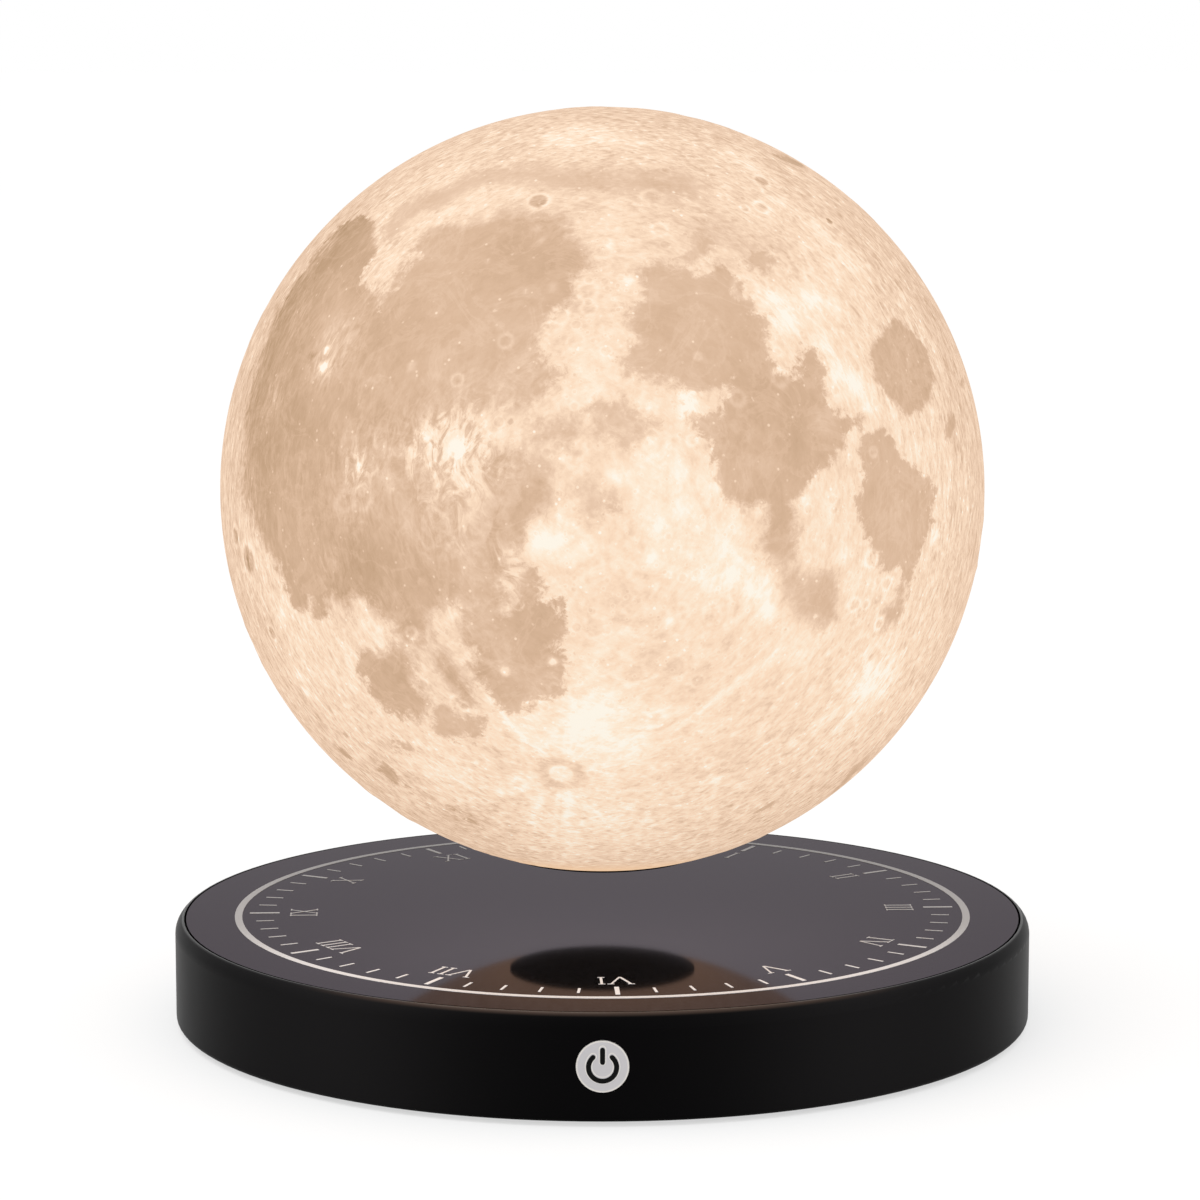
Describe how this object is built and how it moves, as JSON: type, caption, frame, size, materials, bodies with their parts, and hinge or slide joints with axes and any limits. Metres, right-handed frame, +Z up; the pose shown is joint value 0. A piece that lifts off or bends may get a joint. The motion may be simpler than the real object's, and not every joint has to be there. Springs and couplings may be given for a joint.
{
  "type": "levitating moon lamp",
  "caption": "Lit moon globe that floats over a round black stand with a dark mirror clock dial and a front push button.",
  "frame": {"origin": "middle of the stand on the table, under its rubber feet", "axes": "+Z up through the moon's centre; -Y is the front, where the power button is; +X is right as seen from the front"},
  "size_m": [0.2034, 0.2034, 0.2162],
  "materials": {
    "black_plastic": "fine satin texture",
    "dark_mirror": "dark half-mirror glass",
    "tape": "adhesive foam",
    "silver_ink": "silver screen print",
    "steel": "zinc plated",
    "rubber": "matt",
    "iron": "bare soft iron",
    "ferrite": "sintered",
    "cream_plastic": "moulded nylon",
    "copper": "enamelled wire",
    "circuit_board": "solder mask",
    "chip_plastic": "moulded",
    "grey_cable": "flat flexible cable",
    "aluminium": "bare",
    "capacitor_sleeve": "shrink sleeve",
    "red_cable": "flat two-core lead",
    "button_grey": "satin light grey",
    "symbol_black": "inlay",
    "nickel": "nickel plated",
    "moon_plastic": "printed translucent relief, lit from inside",
    "white_plastic": "moulded",
    "led_lens": "phosphor",
    "opal_plastic": "opal diffuser"
  },
  "bodies": {
    "base": {"base_shell": "black_plastic", "mirror_glass": "dark_mirror", "glass_tape": "tape", "minute_ring": "silver_ink", "minute_marks": "silver_ink", "hour_marks": "silver_ink", "hour_numerals": "silver_ink", "bottom_plate": "black_plastic", "plate_screws": "steel", "rubber_feet": "rubber", "back_iron": "iron", "field_magnet": "ferrite", "coil_cores": "iron", "coil_bobbins": "cream_plastic", "coil_windings": "copper", "sensor_board": "circuit_board", "sensor_screws": "steel", "hall_sensors": "chip_plastic", "ribbon_cable": "grey_cable", "power_coil": "copper", "power_coil_shield": "ferrite", "main_board": "circuit_board", "board_screws": "steel", "controller_chip": "chip_plastic", "driver_chips": "chip_plastic", "heat_sinks": "aluminium", "capacitors": "capacitor_sleeve", "choke": "ferrite", "jack_housing": "chip_plastic", "jack_pin": "steel", "switch_board": "circuit_board", "switch_body": "chip_plastic", "button_lead": "red_cable"},
    "button": {"power_button": "button_grey", "power_symbol": "symbol_black", "switch_plunger": "chip_plastic"},
    "float_core": {"float_magnet": "nickel", "magnet_yoke": "iron"},
    "moon": {"moon_shell": "moon_plastic", "magnet_cup": "black_plastic", "receiver_coil": "copper", "receiver_ferrite": "ferrite", "receiver_board": "circuit_board", "receiver_parts": "chip_plastic", "board_pillars": "white_plastic", "lamp_board": "aluminium", "lamp_leds": "led_lens", "lamp_screws": "steel", "lamp_dome": "opal_plastic"}
  },
  "joints": [
    {"name": "power_press", "type": "slide", "parent": "base", "child": "button", "axis": [0, 1, 0], "range_m": [0, 0.0007], "stiffness_N_per_m": 1500, "springref_m": -0.0005},
    {"name": "moon_lift", "type": "slide", "parent": "base", "child": "float_core", "axis": [0, 0, 1], "range_m": [0, 0.05]},
    {"name": "moon_spin", "type": "hinge", "parent": "float_core", "child": "moon", "pos_m": [0, 0, 0.1262], "axis": [0, 0, 1], "continuous": true}
  ]
}
